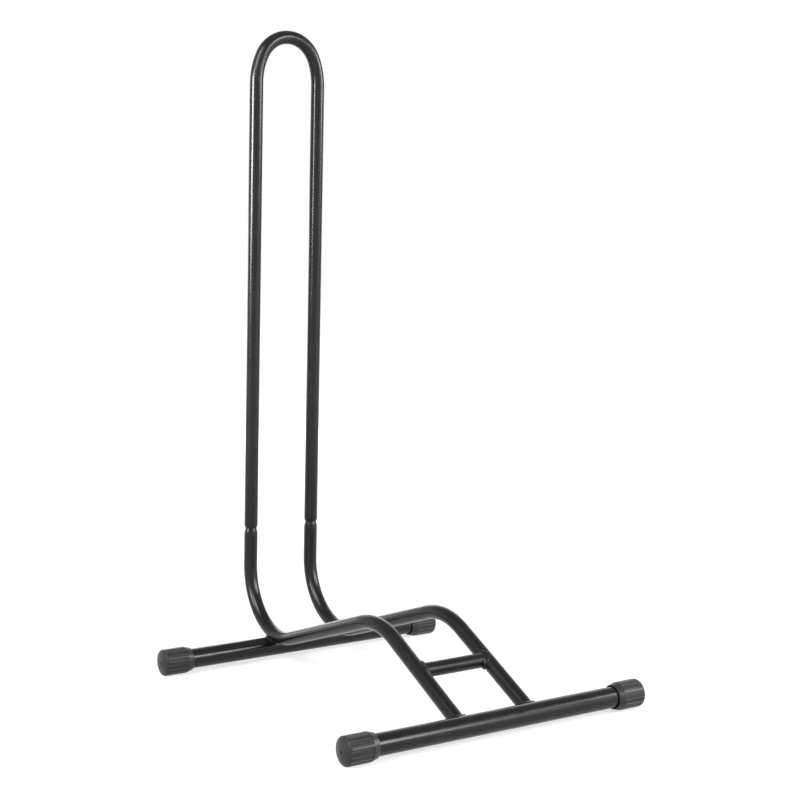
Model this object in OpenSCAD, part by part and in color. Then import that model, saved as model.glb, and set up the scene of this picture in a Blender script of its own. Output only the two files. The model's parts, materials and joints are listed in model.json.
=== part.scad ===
// Floor stand that holds a bicycle upright by one wheel.
// Two bent rails carry a lift-off hoop, and the tyre stands between them.
// The origin is on the floor under the middle of the stand. +Z is up and -Y is the front.

/* [Tubes] */
// Outer diameter of the hoop, the rails and the cross tube
tube_d = 16; // [12:0.5:20]
// Wall thickness of every tube
tube_wall = 1.5; // [1:0.1:2]
// Outer diameter of the two foot tubes
foot_d = 22.5; // [19:0.5:26]
// Length of each foot tube
foot_len = 368; // [280:1:480]
// How far each face of a tube's wall draws in where the tube is bent
draw_in = 0.05; // [0.02:0.01:0.1]
// How much thinner the cross tube is than the rails that it runs between
cross_step = 0.2; // [0.1:0.1:4]

/* [Hoop] */
// Height of the top of the hoop above the floor
stand_h = 744; // [550:1:900]
// Distance between the centres of the two legs
leg_pitch = 84; // [64:1:110]
// Forward lean of the legs, in degrees
lean = 1.8; // [0:0.1:4]
// Turn of the tight crown bend on each side of the middle, in degrees
crown_turn = 65; // [45:1:75]
// How much larger the bend radius is at the shoulders than at the crown
shoulder_gain = 37; // [5:1:50]

/* [Plug joint] */
// Distance up the leg from the floor to the hoop's lower ends
plug_height = 149.5; // [140:0.5:200]
// Length of the spigot inside each leg
spigot_len = 45; // [20:1:80]
// Radial clearance between a spigot and the leg around it
spigot_gap = 0.09; // [0.02:0.01:0.1]
// Length over which a rail narrows to its spigot
neck_len = 8.5; // [5:0.5:14]
// Length of the rolled-in end of each leg
roll_len = 4; // [2:0.5:6]
// Wall left at the tip of the rolled-in end
roll_tip = 0.4; // [0.2:0.1:0.8]
// Gap between the end of a leg and the top of the narrowing
seat_gap = 0.1; // [0.05:0.05:0.3]
// Bevel on the top of each spigot
spigot_bevel = 0.8; // [0.2:0.1:1]

/* [Rails] */
// Distance between the axes of the two foot tubes
foot_pitch = 388; // [330:1:460]
// How far behind the rear foot tube the legs' line meets the floor
heel_setback = 56; // [45:1:65]
// Radius of the heel bend, at the tube's centre
heel_r = 73; // [60:1:80]
// Climb of the straight behind the nose, in degrees
rise_angle = 18; // [12:0.5:22]
// Radius of the nose bend, at the tube's centre
nose_r = 82; // [50:1:100]
// Fall of the straight in front of the nose, in degrees
fall_angle = 27.3; // [24:0.1:34]
// How far below the front foot tube's axis the falling straight aims
aim_drop = 1.3; // [-3:0.1:3]
// How deep each rail sits in its dent in the rear foot tube
saddle = 2.4; // [0.5:0.1:4]
// Turn of each rail away from the middle, in degrees
splay = 0.3; // [0:0.05:1]
// Distance from the front foot tube's axis back up the rails to the cross tube
cross_back = 88; // [50:1:100]
// Reach of each weld along the foot tubes and the rails
weld_reach = 2.4; // [1:0.1:3]
// Height of each weld on the tube that it holds
weld_height = 2; // [1:0.1:3]

/* [Caps] */
// Outer diameter of an end cap
cap_d = 30; // [28:0.5:40]
// Length of foot tube that a cap covers
cap_grip = 32; // [20:0.5:50]
// Thickness of a cap's end, measured at its middle
cap_end = 5; // [4:0.5:12]
// Wall of a cap at its open rim
rim_wall = 1.8; // [1:0.1:2.5]
// Length of the smooth collar behind the rim
collar_len = 7; // [3:0.5:12]
// Radial clearance between a cap and its foot tube
cap_gap = 0.05; // [0.02:0.01:0.2]
// Bevel inside the open rim
rim_bevel = 0.8; // [0.3:0.1:1]
// Radius of the rounded edge round a cap's end
edge_r = 2.5; // [1:0.5:4]
// Radius of the slightly domed end
dome_r = 40; // [30:1:80]
// Number of grooves round a cap
groove_count = 18; // [12:1:24]
// Radius of a groove's round bottom
groove_r = 1.3; // [0.8:0.1:1.6]
// Depth of a groove
groove_depth = 1; // [0.4:0.1:1.2]
// Diameter of the small hollow in the middle of a cap's end
dimple_d = 2.6; // [1:0.1:4]
// Depth of that hollow
dimple_depth = 1.2; // [0.5:0.1:2]
// Turn of the front left cap on its tube, in steps of the grooves' spacing
odd_cap_turn = 0.5; // [0:0.1:1]

/* [Hidden] */
$fn = 64;

// The side on which a piece lies, as a sign along X
LEFT = -1;
RIGHT = 1;
// How far a cutting shape runs past the face that it cuts
over = 1;
// How far a length of tube runs on inside the bend beside it
lap = 0.2;

coat = "#26272a";
weld_coat = "#303134";
cap_black = "#3f4043";

// Radii and heights that follow from the sizes above
tube_r = tube_d / 2;
bore_r = tube_r - tube_wall;
bend_r = tube_r - draw_in;
bend_bore_r = bore_r + draw_in;
foot_r = foot_d / 2;
cross_r = (tube_d - cross_step) / 2;
cap_r = cap_d / 2;
foot_z = cap_r;
leg_x = leg_pitch / 2;

// The rails' shape is worked out in a side plane: u runs forward from the rear foot tube
// and v runs up from the floor.
up = [sin(lean), cos(lean)];
ahead = [cos(lean), -sin(lean)];
leg_base = [-heel_setback, 0];
rear_axis = [0, foot_z];
front_axis = [foot_pitch, foot_z];

// The heel bend touches the dent in the rear foot tube, which sets the bend's height
contact = bend_r + foot_r - saddle;
heel_offset = leg_base + heel_r * ahead - rear_axis;
heel_along = heel_offset * up;
heel_height = -heel_along
    + sqrt(heel_along * heel_along - heel_offset * heel_offset + pow(heel_r + contact, 2));
heel_start = leg_base + heel_height * up;
heel_centre = heel_start + heel_r * ahead;
heel_turn = 90 + lean + rise_angle;
rise_start = heel_centre + heel_r * [sin(rise_angle), -cos(rise_angle)];

// The falling straight aims at the front foot tube, which sets the rising straight's length
fall_normal = [sin(fall_angle), cos(fall_angle)];
fall_dir = [cos(fall_angle), -sin(fall_angle)];
nose_turn = rise_angle + fall_angle;
aim = front_axis - aim_drop * fall_normal;
rise_len = ((aim - rise_start) * fall_normal - nose_r * (1 - cos(nose_turn))) / sin(nose_turn);
nose_start = rise_start + rise_len * [cos(rise_angle), sin(rise_angle)];
fall_start = nose_start
    + nose_r * [sin(rise_angle) + sin(fall_angle), cos(fall_angle) - cos(rise_angle)];
fall_len = (aim - fall_start) * fall_dir;
cross_at = aim - cross_back * fall_dir;

// The origin lies halfway between the back of the heel bends and the front of the caps
back_u = heel_centre[0] - heel_r - bend_r;
front_u = foot_pitch + cap_r;
middle_u = (back_u + front_u) / 2;

// Hoop, in the plane of its legs: x runs across and t runs up along the legs
crown_r = leg_x - shoulder_gain * (1 - sin(crown_turn));
shoulder_r = crown_r + shoulder_gain;
shoulder_turn = 90 - crown_turn;
crown_top = (stand_h - tube_r) / cos(lean);
leg_top = crown_top - crown_r * (1 - cos(crown_turn)) - shoulder_r * cos(crown_turn);
leg_len = leg_top - plug_height;

// Plug joint, along a leg
spigot_r = bore_r - spigot_gap;
spigot_bore_r = spigot_r - tube_wall;
post_len = plug_height - seat_gap - neck_len - heel_height;
neck_arc_r = arc_radius(neck_len, tube_r - spigot_r);
roll_arc_r = arc_radius(roll_len, tube_wall - roll_tip);

// Cap, along its own axis from the rim towards the domed end
cap_bore_r = foot_r + cap_gap;
rim_r = cap_bore_r + rim_wall;
edge_ring_r = cap_r - edge_r;
dome_drop = sqrt(pow(dome_r - edge_r, 2) - pow(edge_ring_r, 2));
cap_len = cap_grip + cap_end;
dome_centre = cap_len - dome_r;
edge_start = dome_centre + dome_drop;
groove_axis_r = cap_r + groove_r - groove_depth;
groove_start = collar_len + groove_r;

// Radius of an arc that leaves a line tangentially and moves "drop" away from it over "run"
function arc_radius(run, drop) = (run * run + drop * drop) / (2 * drop);

// Turns a shape drawn in a side plane, as (u, v), upright into the stand's frame
module side_plane() {
    translate([0, middle_u, 0]) rotate([90, 0, -90]) children();
}

// Places a shape drawn along a leg, with its foot at the origin, on the leaning leg line
module on_legs() {
    translate([0, middle_u - leg_base[0], 0]) rotate([lean, 0, 0]) children();
}

// Moves a rail from the side plane to its side and turns it outward about its leg line
module rail_place(side) {
    side_plane() translate([0, 0, -side * leg_x])
        translate(leg_base) rotate([0, 0, -lean]) rotate([0, side * splay, 0])
        rotate([0, 0, lean]) translate(-leg_base) children();
}

// A tube's cross-section; with no inner radius it is a solid bar's
module section(outer, inner) {
    difference() {
        circle(outer, $fn = 64);
        if (inner > 0) circle(inner, $fn = 64);
    }
}

// A tube starts at the origin and heads along +X. Each length of it draws itself and then puts
// its children where it ends. A straight length laps a little way into the bends beside it.
module straight(len, outer, inner = 0) {
    translate([-lap, 0, 0]) rotate([0, 90, 0]) linear_extrude(len + 2 * lap) section(outer, inner);
    translate([len, 0, 0]) children();
}

// A bend to the left. One that isn't drawn in laps into its neighbours too, by "run_on".
module bend(radius, turn, outer, inner = 0, run_on = 0) {
    lap_turn = run_on / radius * 180 / PI;
    translate([0, radius, 0]) rotate([0, 0, -90]) {
        rotate([0, 0, -lap_turn]) rotate_extrude(angle = turn + 2 * lap_turn, $fn = 180)
            translate([radius, 0]) section(outer, inner);
        rotate([0, 0, turn]) translate([radius, 0, 0]) rotate([0, 0, 90]) children();
    }
}

module bend_right(radius, turn, outer, inner = 0) {
    mirror([0, 1, 0]) bend(radius, turn, outer, inner) mirror([0, 1, 0]) children();
}

// The start of a rail's heel bend, heading down and on into the bend
module at_heel(side) {
    rail_place(side) translate(heel_start) rotate([0, 0, -90 - lean]) children();
}

// The part of a rail that sits in the rear foot tube, as a solid bar
module heel_bar(side, radius) {
    at_heel(side) bend(heel_r, heel_turn, radius);
}

// The falling front of a rail, as a solid bar that ends at the front foot tube's middle
module fall_bar(side, radius) {
    rail_place(side) translate(fall_start) rotate([0, 0, -fall_angle]) straight(fall_len, radius);
}

// A round bar across the stand, through a point of the side plane
module cross_bar(at, len, radius) {
    side_plane() translate([at[0], at[1], -len / 2]) cylinder(h = len, r = radius);
}

// Half outline of a rail's top end, or of the hollow in it: upright, narrowing and spigot
module post_outline(main_r, arc_r, top_r, top, bevel) {
    translate([0, -lap]) square([main_r, post_len + lap]);
    translate([0, post_len]) {
        intersection() {
            square([main_r, neck_len]);
            translate([main_r - arc_r, 0]) circle(arc_r, $fn = 360);
        }
        polygon([[0, 0], [top_r, 0], [top_r, top - bevel], [top_r - bevel, top], [0, top]]);
    }
}

// The upright top end of a rail, standing on the start of the heel bend
module post() {
    spigot_top = neck_len + spigot_len;
    rotate_extrude() difference() {
        post_outline(tube_r, neck_arc_r, spigot_r, spigot_top, spigot_bevel);
        post_outline(bore_r, neck_arc_r - tube_wall, spigot_bore_r, spigot_top + over, 0);
        translate([0, -over]) square([bore_r, over]);
    }
}

module rail(side) {
    color(coat) difference() {
        at_heel(side) {
            rotate([0, -90, 0]) post();
            bend(heel_r, heel_turn, bend_r, bend_bore_r)
                straight(rise_len, tube_r, bore_r)
                bend_right(nose_r, nose_turn, bend_r, bend_bore_r)
                straight(fall_len, tube_r, bore_r);
        }
        cross_bar(front_axis, foot_len, foot_r);
    }
}

// A straight leg that starts at the origin, heads along +Z and ends in a rolled-in edge
module leg() {
    plain_len = leg_len - roll_len;
    rotate_extrude() {
        translate([bore_r, -lap]) square([tube_wall, plain_len + lap]);
        translate([bore_r, plain_len]) intersection() {
            square([tube_wall, roll_len]);
            translate([tube_wall - roll_arc_r, 0]) circle(roll_arc_r, $fn = 360);
        }
    }
}

module hoop() {
    color(coat) on_legs() rotate([90, 0, 0]) translate([0, leg_top, 0]) {
        for (side = [LEFT, RIGHT]) translate([side * leg_x, 0, 0]) rotate([90, 0, 0]) leg();
        translate([leg_x, 0, 0]) rotate([0, 0, 90])
            bend(shoulder_r, shoulder_turn, bend_r, bend_bore_r)
            bend(crown_r, 2 * crown_turn, tube_r, bore_r, lap)
            bend(shoulder_r, shoulder_turn, bend_r, bend_bore_r);
    }
}

// The cross tube is cut to fit round the rails' inner faces
module cross_tube() {
    color(coat) difference() {
        cross_bar(cross_at, leg_pitch, cross_r);
        cross_bar(cross_at, leg_pitch + 2 * over, cross_r - tube_wall);
        for (side = [LEFT, RIGHT]) fall_bar(side, tube_r);
    }
}

// The rear foot tube is dented under the rails, with its wall following each dent
module rear_foot_tube() {
    color(coat) difference() {
        cross_bar(rear_axis, foot_len, foot_r);
        for (side = [LEFT, RIGHT]) heel_bar(side, bend_r);
        difference() {
            cross_bar(rear_axis, foot_len + 2 * over, foot_r - tube_wall);
            for (side = [LEFT, RIGHT]) heel_bar(side, bend_r + tube_wall);
        }
    }
}

module front_foot_tube() {
    color(coat) difference() {
        cross_bar(front_axis, foot_len, foot_r);
        cross_bar(front_axis, foot_len + 2 * over, foot_r - tube_wall);
    }
}

// Half outline of a cap: collar, body, rounded edge and domed end
module cap_outline() {
    polygon([[0, 0], [rim_r, 0], [cap_r, collar_len], [cap_r, edge_start], [0, edge_start]]);
    translate([edge_ring_r, edge_start]) circle(edge_r, $fn = 96);
    intersection() {
        translate([0, dome_centre]) circle(dome_r, $fn = 360);
        polygon([
            [0, dome_centre], [0, cap_len + over],
            [(cap_len + over - dome_centre) * edge_ring_r / dome_drop, cap_len + over]
        ]);
    }
}

module cap_body() {
    difference() {
        rotate_extrude() intersection() {
            cap_outline();
            square([cap_r, cap_len]);
        }
        translate([0, 0, -over]) cylinder(h = cap_grip + over, r = cap_bore_r);
        cylinder(h = rim_bevel, r1 = cap_bore_r + rim_bevel, r2 = cap_bore_r);
        for (i = [0 : groove_count - 1]) rotate([0, 0, i * 360 / groove_count])
            translate([groove_axis_r, 0, groove_start]) {
                cylinder(h = cap_len, r = groove_r, $fn = 32);
                sphere(groove_r, $fn = 32);
            }
        translate([0, 0, cap_len - dimple_depth]) cylinder(h = dimple_depth + over, d = dimple_d);
    }
}

// A cap on the end of a foot tube, with a rib rather than a groove at its lowest line
module cap(axis_point, side, turn = 0) {
    step = 360 / groove_count;
    color(cap_black) side_plane() translate([axis_point[0], axis_point[1], 0])
        rotate([0, (1 + side) * 90, 0]) translate([0, 0, foot_len / 2 - cap_grip])
        rotate([0, 0, 90 + step * (0.5 + turn)]) cap_body();
}

// A weld round the seat of a rail's heel in the rear foot tube
module rear_weld(side) {
    color(weld_coat) difference() {
        intersection() {
            heel_bar(side, bend_r + weld_height);
            cross_bar(rear_axis, foot_len, foot_r + weld_reach);
        }
        heel_bar(side, bend_r);
        cross_bar(rear_axis, foot_len, foot_r);
    }
}

// A weld round a rail where it meets the front foot tube
module front_weld(side) {
    color(weld_coat) difference() {
        intersection() {
            fall_bar(side, tube_r + weld_height);
            cross_bar(front_axis, foot_len, foot_r + weld_reach);
        }
        fall_bar(side, tube_r);
        cross_bar(front_axis, foot_len, foot_r);
    }
}

// A weld round an end of the cross tube where it meets a rail
module cross_weld(side) {
    color(weld_coat) difference() {
        intersection() {
            fall_bar(side, tube_r + weld_reach);
            cross_bar(cross_at, leg_pitch, cross_r + weld_height);
        }
        fall_bar(side, tube_r);
        cross_bar(cross_at, leg_pitch, cross_r);
    }
}

hoop();
rail(LEFT);  // left_rail
rail(RIGHT);  // right_rail
cross_tube();
rear_foot_tube();
front_foot_tube();
cap(rear_axis, LEFT);  // rear_left_cap
cap(rear_axis, RIGHT);  // rear_right_cap
cap(front_axis, LEFT, odd_cap_turn);  // front_left_cap
cap(front_axis, RIGHT);  // front_right_cap
rear_weld(LEFT);  // rear_left_weld
rear_weld(RIGHT);  // rear_right_weld
front_weld(LEFT);  // front_left_weld
front_weld(RIGHT);  // front_right_weld
cross_weld(LEFT);  // cross_left_weld
cross_weld(RIGHT);  // cross_right_weld
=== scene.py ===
"""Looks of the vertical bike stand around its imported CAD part."""
import bmesh
import bpy
import json
import math
from mathutils import Matrix, Vector


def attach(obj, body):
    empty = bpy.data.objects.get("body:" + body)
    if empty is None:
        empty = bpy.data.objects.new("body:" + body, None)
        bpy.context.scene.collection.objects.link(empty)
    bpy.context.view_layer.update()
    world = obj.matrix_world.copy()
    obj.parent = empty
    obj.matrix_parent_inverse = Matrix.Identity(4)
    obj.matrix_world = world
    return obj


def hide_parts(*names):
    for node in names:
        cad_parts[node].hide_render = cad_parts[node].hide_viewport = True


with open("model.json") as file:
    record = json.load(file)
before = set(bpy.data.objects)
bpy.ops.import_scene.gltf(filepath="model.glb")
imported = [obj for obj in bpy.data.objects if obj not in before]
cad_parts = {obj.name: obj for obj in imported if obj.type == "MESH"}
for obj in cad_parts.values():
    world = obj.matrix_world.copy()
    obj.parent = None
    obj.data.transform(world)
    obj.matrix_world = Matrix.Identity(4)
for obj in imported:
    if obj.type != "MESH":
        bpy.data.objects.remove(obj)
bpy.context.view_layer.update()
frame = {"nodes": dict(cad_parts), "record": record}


# Materials

def material(name):
    """A new node material: its tree, its Principled BSDF and a maker of nodes."""
    mat = bpy.data.materials.new(name)
    mat.use_nodes = True
    tree = mat.node_tree
    shader = tree.nodes["Principled BSDF"]
    return mat, tree, shader


def noise(tree, scale, detail=2.0, roughness=0.5):
    """Noise in metres of the object's own space."""
    place = tree.nodes.new("ShaderNodeTexCoord")
    tex = tree.nodes.new("ShaderNodeTexNoise")
    tex.inputs["Scale"].default_value = scale
    tex.inputs["Detail"].default_value = detail
    tex.inputs["Roughness"].default_value = roughness
    tree.links.new(place.outputs["Object"], tex.inputs["Vector"])
    return tex.outputs["Fac"]


def spread(tree, source, low, high, low_in=0.3, high_in=0.7):
    """Maps a grey value to the range low..high."""
    span = tree.nodes.new("ShaderNodeMapRange")
    span.inputs["From Min"].default_value = low_in
    span.inputs["From Max"].default_value = high_in
    span.inputs["To Min"].default_value = low
    span.inputs["To Max"].default_value = high
    tree.links.new(source, span.inputs["Value"])
    return span.outputs["Result"]


def bump(tree, height, distance, strength=1.0, under=None):
    """A bump node over a height in 0..1, distance in metres."""
    node = tree.nodes.new("ShaderNodeBump")
    node.inputs["Distance"].default_value = distance
    node.inputs["Strength"].default_value = strength
    tree.links.new(height, node.inputs["Height"])
    if under is not None:
        tree.links.new(under, node.inputs["Normal"])
    return node.outputs["Normal"]


def two_tones(tree, source, dark, light):
    """A colour that drifts between two tones."""
    ramp = tree.nodes.new("ShaderNodeValToRGB")
    ramp.color_ramp.elements[0].position = 0.3
    ramp.color_ramp.elements[0].color = (*dark, 1)
    ramp.color_ramp.elements[1].position = 0.7
    ramp.color_ramp.elements[1].color = (*light, 1)
    tree.links.new(source, ramp.inputs["Fac"])
    return ramp.outputs["Color"]


def powder_coat(name, colour_dark, colour_light, rough_low, rough_high, peel):
    """Satin powder coat: fine orange peel, roughness that drifts a little."""
    mat, tree, shader = material(name)
    peel_grain = noise(tree, 900.0, 3.0)
    drift = noise(tree, 35.0, 3.0)
    tree.links.new(two_tones(tree, drift, colour_dark, colour_light), shader.inputs["Base Color"])
    tree.links.new(spread(tree, drift, rough_low, rough_high), shader.inputs["Roughness"])
    tree.links.new(bump(tree, peel_grain, peel), shader.inputs["Normal"])
    shader.inputs["Specular IOR Level"].default_value = 0.25
    return mat


coat = powder_coat("powder_coat", (0.005, 0.005, 0.0051), (0.008, 0.0079, 0.0079), 0.20, 0.25, 0.0000025)
weld_coat = powder_coat("coated_weld", (0.005, 0.005, 0.0051), (0.009, 0.0089, 0.0089), 0.22, 0.30, 0.00002)


def moulded_rubber():
    """Matte moulded cap: soft grain and a faint dusty drift."""
    mat, tree, shader = material("cap_rubber")
    grain = noise(tree, 1600.0, 2.0)
    drift = noise(tree, 60.0, 3.0)
    tree.links.new(two_tones(tree, drift, (0.017, 0.017, 0.0175), (0.024, 0.024, 0.0247)),
                   shader.inputs["Base Color"])
    tree.links.new(spread(tree, drift, 0.34, 0.42), shader.inputs["Roughness"])
    tree.links.new(bump(tree, grain, 0.00004), shader.inputs["Normal"])
    shader.inputs["Specular IOR Level"].default_value = 0.28
    return mat


rubber = moulded_rubber()
finish_of = {"powder_coat": coat, "coated_weld": weld_coat, "cap_rubber": rubber}
for row in frame["record"]["subparts"]:
    node = frame["nodes"][row["node"]]
    node.data.materials.clear()
    node.data.materials.append(finish_of[row["material_slot"]])


# Welds

MM = 0.001
MIDDLE_Y = 171.153       # y of the rear foot tube's axis, in mm
FOOT_Z = 15.0            # height of the foot tubes' axes
FOOT_R = 11.25
RAIL_R = 8.0
BEND_R = 7.95
CROSS_R = 7.9
LEG_X = 42.0
HEEL_CENTRE = (20.26, 102.49)     # of the heel bend, as distance in front of the rear foot tube and height
HEEL_R = 73.0
FRONT_AXIS = (388.0, 15.0)
CROSS_AXIS = (309.205, 54.206)
FALL = math.radians(27.3)
LEAN = math.radians(1.8)
SPLAY = math.radians(0.3)


def rail_x(side, ahead, height):
    """x of a rail's centre line; the rails splay a little towards the front."""
    from_leg = (ahead + 56.0) * math.cos(LEAN) - height * math.sin(LEAN)
    return side * (LEG_X + from_leg * math.sin(SPLAY))


def heel_normal(side, p):
    """Vector from the heel bend's centre line to p."""
    ahead, height = MIDDLE_Y - p[1], p[2]
    du, dv = ahead - HEEL_CENTRE[0], height - HEEL_CENTRE[1]
    far = math.hypot(du, dv)
    du, dv = du / far, dv / far
    off = far - HEEL_R
    near = (HEEL_CENTRE[0] + HEEL_R * du, HEEL_CENTRE[1] + HEEL_R * dv)
    return Vector((p[0] - rail_x(side, *near), -du * off, dv * off))


def fall_normal(side, p):
    """Vector from the falling straight's centre line to p."""
    aim = Vector((0, MIDDLE_Y - CROSS_AXIS[0], CROSS_AXIS[1]))
    aim.x = rail_x(side, *CROSS_AXIS)
    way = Vector((side * math.sin(SPLAY) * math.cos(FALL), -math.cos(FALL), -math.sin(FALL))).normalized()
    gap = Vector(p) - aim
    return gap - way * gap.dot(way)


def bar_normal(axis, p):
    """Vector to p from a bar along X, through axis in the side plane."""
    return Vector((0, p[1] - (MIDDLE_Y - axis[0]), p[2] - axis[1]))


def seam(surface, inside, reach, count=240):
    """Where a surface, drawn over (u, v) in mm, leaves a tube: a ring of points about (0, 0)."""
    ring = []
    for i in range(count):
        turn = 2 * math.pi * i / count
        low, high = 0.0, reach
        for _ in range(26):
            middle = (low + high) / 2
            if inside(surface(middle * math.cos(turn), middle * math.sin(turn))):
                low = middle
            else:
                high = middle
        ring.append(surface(low * math.cos(turn), low * math.sin(turn)))
    return ring


def even_ring(ring, count):
    """The same closed ring with even steps, and its length."""
    steps = [(ring[(i + 1) % len(ring)] - p).length for i, p in enumerate(ring)]
    total, points, i, passed = sum(steps), [], 0, 0.0
    for k in range(count):
        want = total * k / count
        while passed + steps[i] < want:
            passed += steps[i]
            i += 1
        points.append(ring[i].lerp(ring[(i + 1) % len(ring)], (want - passed) / steps[i]))
    return points, total


def bead(name, node, ring, normal_a, normal_b, height, reach, shift):
    """A rippled weld bead in the corner between two tubes, along a closed seam."""
    around, across = 8 * 26, 9
    points, length = even_ring(ring, around)
    ripples = round(length / 2.3)
    verts = []
    for i, p in enumerate(points):
        share = i / around
        a, b = normal_a(p).normalized(), normal_b(p).normalized()
        up_a = (b - a * b.dot(a)).normalized()
        out_b = (a - b * a.dot(b)).normalized()
        slow = 0.09 * math.sin(2 * math.pi * 3 * share + shift) + 0.06 * math.sin(2 * math.pi * 7 * share + 2 * shift)
        start = 0.22 * math.exp(-((share - 0.37) / 0.03) ** 2)
        for j in range(across):
            t = j / (across - 1)
            curl = 0.9 * (2 * t - 1) ** 2
            phase = ripples * share + curl + 0.25 * math.sin(2 * math.pi * 5 * share + shift)
            hump = abs(math.sin(math.pi * phase)) ** 0.8
            size = 1 + slow + start + 0.2 * (hump - 0.7) * math.sin(math.pi * min(max(t, 0.06), 0.94))
            angle = math.pi / 2 * t
            verts.append(p + up_a * (height * size * math.cos(angle)) + out_b * (reach * size * math.sin(angle))
                         - (a * (1 - t) + b * t) * (0.25 * abs(2 * t - 1) ** 4))
        verts.append(p - (a + b) * 0.7)
    row = across + 1
    faces = [(i * row + j, i * row + (j + 1) % row, ((i + 1) % around) * row + (j + 1) % row,
              ((i + 1) % around) * row + j) for i in range(around) for j in range(row)]
    mesh = bpy.data.meshes.new(name)
    mesh.from_pydata([v * MM for v in verts], [], faces)
    mesh.validate()
    for face in mesh.polygons:
        face.use_smooth = True
    work = bmesh.new()
    work.from_mesh(mesh)
    bmesh.ops.recalc_face_normals(work, faces=work.faces)
    work.to_mesh(mesh)
    work.free()
    mesh.materials.append(weld_coat)
    obj = bpy.data.objects.new(name, mesh)
    bpy.context.scene.collection.objects.link(obj)
    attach(obj, "base")
    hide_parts(node)
    return obj


def foot_patch(axis, x, facing):
    """The surface of a foot tube about a point: u runs round it, v runs along X."""
    def surface(u, v):
        angle = facing + u / FOOT_R
        return Vector((x + v, MIDDLE_Y - axis[0] - FOOT_R * math.sin(angle), axis[1] + FOOT_R * math.cos(angle)))
    return surface


def cross_patch(side):
    """The surface of a rail's falling straight about the cross tube's end."""
    way = Vector((side * math.sin(SPLAY) * math.cos(FALL), -math.cos(FALL), -math.sin(FALL))).normalized()
    inward = Vector((-side, 0, 0))
    inward = (inward - way * inward.dot(way)).normalized()
    beside = way.cross(inward)
    centre = Vector((rail_x(side, *CROSS_AXIS), MIDDLE_Y - CROSS_AXIS[0], CROSS_AXIS[1]))
    def surface(u, v):
        angle = v / RAIL_R
        return centre + way * u + (inward * math.cos(angle) + beside * math.sin(angle)) * RAIL_R
    return surface


def welds():
    for side, hand in ((-1, "left"), (1, "right")):
        rear, front = (0.0, FOOT_Z), FRONT_AXIS
        to_heel = math.atan2(HEEL_CENTRE[0], HEEL_CENTRE[1] - FOOT_Z)
        ring = seam(foot_patch(rear, rail_x(side, 0, 24), to_heel),
                    lambda p: heel_normal(side, p).length < BEND_R, 16)
        bead(f"rear_{hand}_bead", f"rear_{hand}_weld", ring, lambda p: heel_normal(side, p),
             lambda p: bar_normal(rear, p), 2.3, 2.8, 0.7 * side)
        to_rail = FALL - math.pi / 2 + math.asin(-1.3 / FOOT_R)
        ring = seam(foot_patch(front, rail_x(side, front[0] - 9, 24), to_rail),
                    lambda p: fall_normal(side, p).length < RAIL_R, 16)
        bead(f"front_{hand}_bead", f"front_{hand}_weld", ring, lambda p: fall_normal(side, p),
             lambda p: bar_normal(front, p), 2.3, 2.6, 1.9 * side)
        ring = seam(cross_patch(side), lambda p: bar_normal(CROSS_AXIS, p).length < CROSS_R, 14)
        bead(f"cross_{hand}_bead", f"cross_{hand}_weld", ring, lambda p: bar_normal(CROSS_AXIS, p),
             lambda p: fall_normal(side, p), 2.6, 2.9, 2.6 * side)


welds()


# Floor and light

def seen_ray(tree):
    """1 for the rays that show the background: camera, glossy and transmission."""
    path = tree.nodes.new("ShaderNodeLightPath")
    fac = path.outputs["Is Camera Ray"]
    for kind in ("Is Glossy Ray", "Is Transmission Ray"):
        either = tree.nodes.new("ShaderNodeMath")
        either.operation = "MAXIMUM"
        tree.links.new(fac, either.inputs[0])
        tree.links.new(path.outputs[kind], either.inputs[1])
        fac = either.outputs[0]
    return fac


def floor():
    """A pale floor that keeps the object's shadow."""
    size = 6.0
    mesh = bpy.data.meshes.new("floor")
    mesh.from_pydata([(-size, -size, 0), (size, -size, 0), (size, size, 0), (-size, size, 0)],
                     [], [(0, 1, 2, 3)])
    obj = bpy.data.objects.new("floor", mesh)
    bpy.context.scene.collection.objects.link(obj)
    mat, tree, shader = material("floor")
    shader.inputs["Base Color"].default_value = (0.4, 0.4, 0.4, 1)
    shader.inputs["Roughness"].default_value = 0.9
    shader.inputs["Emission Color"].default_value = (1, 1, 1, 1)
    place = tree.nodes.new("ShaderNodeTexCoord")
    reach = tree.nodes.new("ShaderNodeVectorMath")
    reach.operation = "LENGTH"
    tree.links.new(place.outputs["Object"], reach.inputs[0])
    level = tree.nodes.new("ShaderNodeMapRange")
    level.interpolation_type = "SMOOTHSTEP"
    level.inputs["From Min"].default_value = 0.2
    level.inputs["From Max"].default_value = 2.5
    level.inputs["To Min"].default_value = 0.65
    level.inputs["To Max"].default_value = 1.0
    tree.links.new(reach.outputs["Value"], level.inputs["Value"])
    glow = tree.nodes.new("ShaderNodeMath")
    glow.operation = "MULTIPLY"
    tree.links.new(seen_ray(tree), glow.inputs[0])
    tree.links.new(level.outputs["Result"], glow.inputs[1])
    tree.links.new(glow.outputs[0], shader.inputs["Emission Strength"])
    mesh.materials.append(mat)


floor()


def softbox(name, place, look_at, width, height, power, spread=180):
    """A rectangular soft light; spread is its beam in degrees."""
    data = bpy.data.lights.new(name, "AREA")
    data.shape = "RECTANGLE"
    data.size = width
    data.size_y = height
    data.energy = power
    data.spread = math.radians(spread)
    obj = bpy.data.objects.new(name, data)
    bpy.context.scene.collection.objects.link(obj)
    obj.location = place
    way = Vector(look_at) - Vector(place)
    obj.rotation_mode = "QUATERNION"
    obj.rotation_quaternion = way.to_track_quat("-Z", "Y")
    return obj


CENTRE = Vector((0, 0, 0.3))


def round_the_stand(azimuth, distance, height):
    """A place in metres, azimuth as seen from the stand: 0 is its front, 90 its right side."""
    a = math.radians(azimuth)
    return (math.sin(a) * distance, -math.cos(a) * distance, height)


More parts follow.
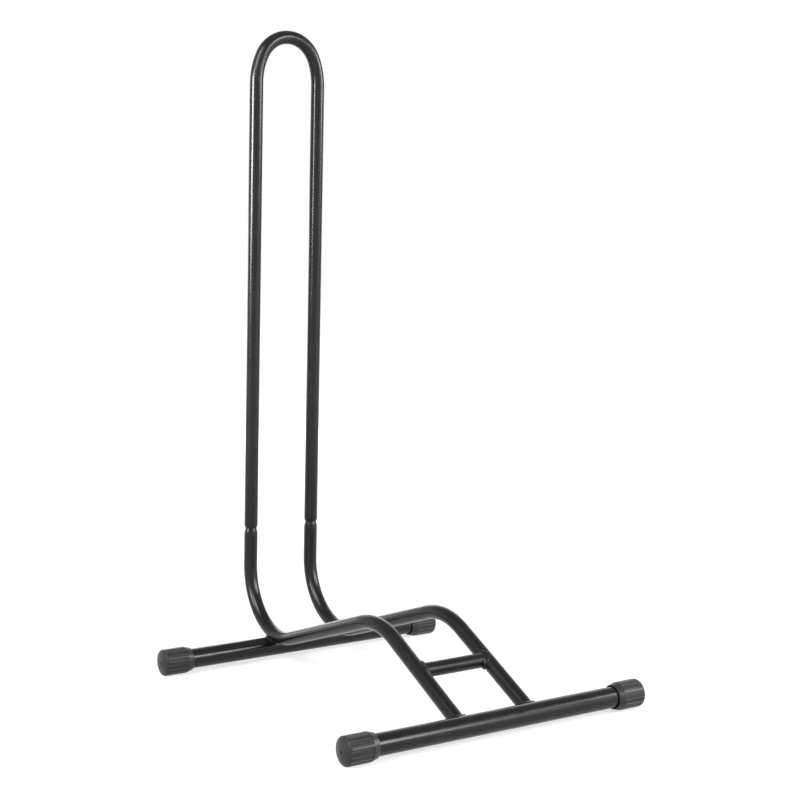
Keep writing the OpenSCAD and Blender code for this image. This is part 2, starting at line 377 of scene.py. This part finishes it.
softbox("left_box", round_the_stand(-94, 1.7, 0.74), (0, 0, 0.62), 0.66, 0.62, 5.5, 38)
softbox("fill_box", (-1.9, -0.5, 1.9), (0, 0, 0), 1.4, 1.4, 70)
softbox("right_box", round_the_stand(57, 1.9, 0.89), (0, 0, 0.5), 0.62, 0.6, 27)
softbox("front_box", round_the_stand(27, 3.2, 1.5), (0, -0.2, 0), 0.66, 1.3, 70)
softbox("low_box", round_the_stand(40, 2.4, 0.25), (0, 0, 0.1), 2.2, 0.5, 4)
softbox("top_box", (1.23, 1.82, 1.1), (0, 0, 0), 2.4, 0.5, 8)
softbox("back_box", (0.4, 2.2, 0.3), (0, 0, 0.1), 2.6, 0.45, 9)

world = bpy.data.worlds.new("studio")
bpy.context.scene.world = world
world.use_nodes = True
tree = world.node_tree
back = tree.nodes["Background"]
back.inputs["Color"].default_value = (1, 1, 1, 1)
way = tree.nodes.new("ShaderNodeTexCoord")
part = tree.nodes.new("ShaderNodeSeparateXYZ")
tree.links.new(way.outputs["Generated"], part.inputs["Vector"])
dome = tree.nodes.new("ShaderNodeMapRange")
dome.interpolation_type = "SMOOTHSTEP"
dome.inputs["From Min"].default_value = 0.3
dome.inputs["From Max"].default_value = 0.7
dome.inputs["To Min"].default_value = 0.9
dome.inputs["To Max"].default_value = 0.45
tree.links.new(part.outputs["Z"], dome.inputs["Value"])
seen = tree.nodes.new("ShaderNodeMath")
seen.operation = "MULTIPLY_ADD"
seen.inputs[2].default_value = 0.1
tree.links.new(seen_ray(tree), seen.inputs[0])
tree.links.new(dome.outputs["Result"], seen.inputs[1])
tree.links.new(seen.outputs[0], back.inputs["Strength"])


# Camera

def camera():
    """The photograph's camera, fitted to its edges."""
    azimuth, elevation, roll = map(math.radians, (-34.077, 4.513, 0.222))
    back_way = Vector((math.sin(azimuth) * math.cos(elevation),
                       -math.cos(azimuth) * math.cos(elevation), math.sin(elevation)))
    right = Vector((math.cos(azimuth), math.sin(azimuth), 0))
    up = back_way.cross(right)
    right, up = (right * math.cos(roll) + up * math.sin(roll),
                 up * math.cos(roll) - right * math.sin(roll))
    data = bpy.data.cameras.new("camera")
    data.sensor_width = 36
    data.lens = 76.959
    data.shift_y = -0.0625
    obj = bpy.data.objects.new("camera", data)
    bpy.context.scene.collection.objects.link(obj)
    turn = Matrix((right, up, back_way)).transposed()
    obj.matrix_world = Matrix.Translation((-1.03871, -1.57086, 0.52651)) @ turn.to_4x4()
    bpy.context.scene.camera = obj


camera()
bpy.context.scene.view_settings.view_transform = "Standard"
